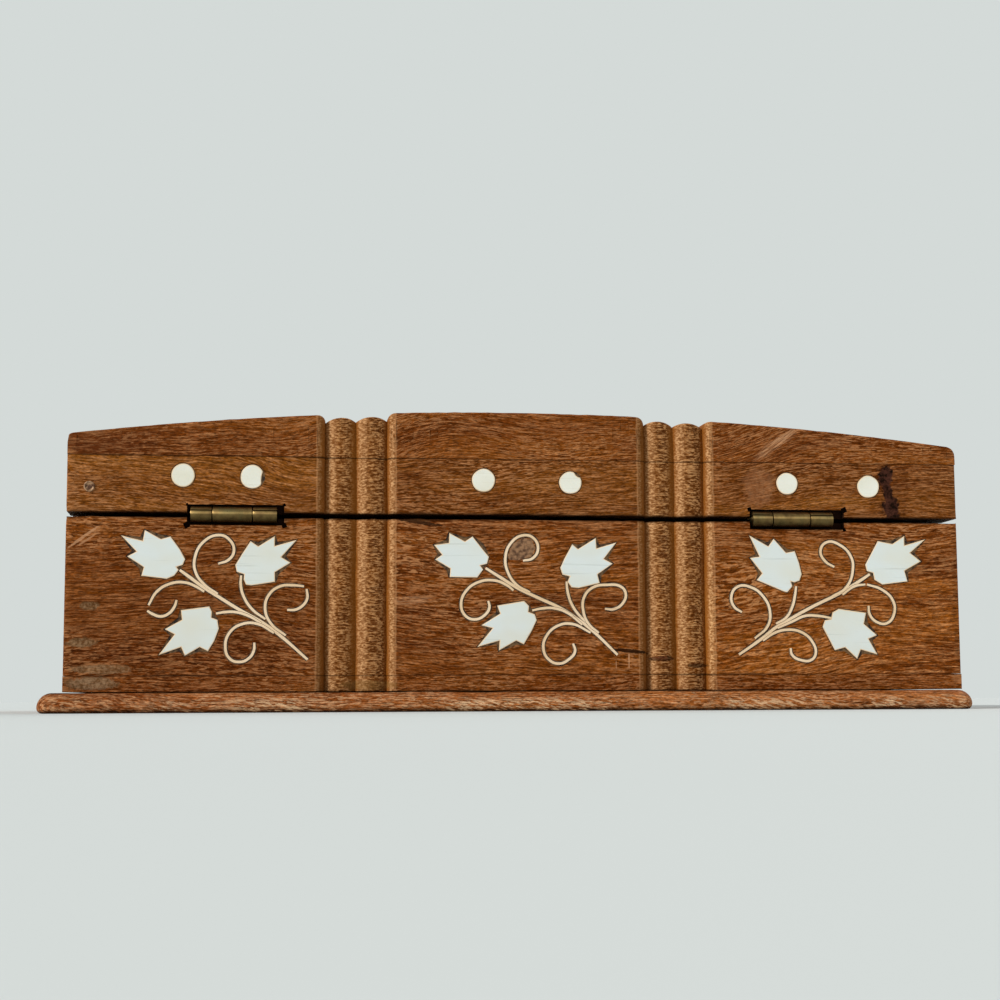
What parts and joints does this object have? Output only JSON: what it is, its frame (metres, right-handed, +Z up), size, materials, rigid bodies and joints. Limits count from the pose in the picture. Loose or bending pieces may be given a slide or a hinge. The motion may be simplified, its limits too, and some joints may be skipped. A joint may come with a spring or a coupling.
{
  "type": "wooden jewelry box",
  "caption": "Low rectangular wooden jewelry box with a crowned hinged lid, fluted bands over lid and walls, leaf sprig inlay, a rounded base plate and a velvet-lined inside.",
  "frame": {"origin": "middle of the underside of the base plate", "axes": "+X along the box from left to right as seen from its front, +Y from the front to the hinged back, +Z up"},
  "size_m": [0.257, 0.156, 0.0826],
  "materials": {
    "rosewood": "hand-rubbed wax over reddish brown sheesham wood, grain along the length",
    "plate_wood": "lighter sheesham plate, rounded edge, thin wax",
    "brass": "aged, darkened brass, worn bright on the knuckles",
    "velvet": "short-pile dark red velvet over card",
    "inlay_white": "satin ivory-white inlay with fine dark cracks, bedded in dark glue"
  },
  "bodies": {
    "box": {"base_plate": "plate_wood", "bottom_board": "rosewood", "back_wall": "rosewood", "front_wall": "rosewood", "left_wall": "rosewood", "right_wall": "rosewood", "floor_lining": "velvet", "wall_lining": "velvet", "left_hinge_box_leaf": "brass", "right_hinge_box_leaf": "brass", "left_hinge_pin": "brass", "right_hinge_pin": "brass", "left_hinge_box_screw_1": "brass", "left_hinge_box_screw_2": "brass", "right_hinge_box_screw_1": "brass", "right_hinge_box_screw_2": "brass", "back_sprig_1": "inlay_white", "back_sprig_2": "inlay_white", "back_sprig_3": "inlay_white", "front_sprig_1": "inlay_white", "front_sprig_2": "inlay_white", "front_sprig_3": "inlay_white"},
    "lid": {"lid_top": "rosewood", "lid_back_rail": "rosewood", "lid_front_rail": "rosewood", "lid_left_rail": "rosewood", "lid_right_rail": "rosewood", "lid_lining": "velvet", "lid_rim_lining": "velvet", "left_hinge_lid_leaf": "brass", "right_hinge_lid_leaf": "brass", "left_hinge_lid_screw_1": "brass", "left_hinge_lid_screw_2": "brass", "right_hinge_lid_screw_1": "brass", "right_hinge_lid_screw_2": "brass", "lid_sprig_1": "inlay_white", "lid_sprig_2": "inlay_white", "lid_sprig_3": "inlay_white", "back_dot_1": "inlay_white", "back_dot_2": "inlay_white", "back_dot_3": "inlay_white", "back_dot_4": "inlay_white", "back_dot_5": "inlay_white", "back_dot_6": "inlay_white", "front_dot_1": "inlay_white", "front_dot_2": "inlay_white", "front_dot_3": "inlay_white", "front_dot_4": "inlay_white", "front_dot_5": "inlay_white", "front_dot_6": "inlay_white"}
  },
  "joints": [
    {"name": "lid_hinge", "type": "hinge", "parent": "box", "child": "lid", "pos_m": [-0.00225, 0.0716, 0.0532], "axis": [-1, 0, 0], "range_deg": [0, 100]}
  ]
}
